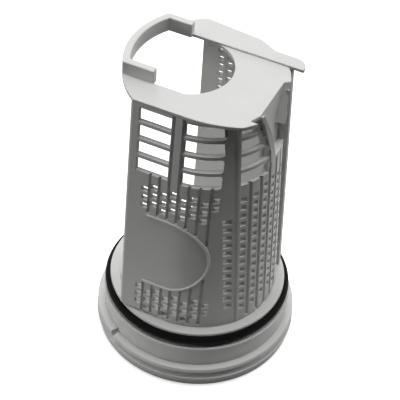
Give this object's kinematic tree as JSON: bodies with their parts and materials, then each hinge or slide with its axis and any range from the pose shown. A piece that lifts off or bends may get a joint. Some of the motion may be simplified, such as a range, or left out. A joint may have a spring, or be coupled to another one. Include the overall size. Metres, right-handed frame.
{
  "type": "washer pump filter",
  "caption": "Drain pump filter of a washing machine: a slotted strainer basket that swivels on a screw cap with a sealing ring.",
  "frame": {"origin": "centre of the cap's grip face", "axes": "+Z along the cap's axis towards the basket, +X towards the key recess, +Y towards the flat back wall"},
  "size_m": [0.064, 0.064, 0.1047],
  "materials": {
    "moulded_polypropylene": "satin",
    "nitrile_rubber": "matte"
  },
  "bodies": {
    "cap": {"screw_cap": "moulded_polypropylene", "seal_ring": "nitrile_rubber"},
    "basket": {"strainer_basket": "moulded_polypropylene"}
  },
  "joints": [
    {"name": "basket_swivel", "type": "hinge", "parent": "cap", "child": "basket", "pos_m": [0, 0, 0.0203], "axis": [0, 0, 1], "continuous": true}
  ]
}
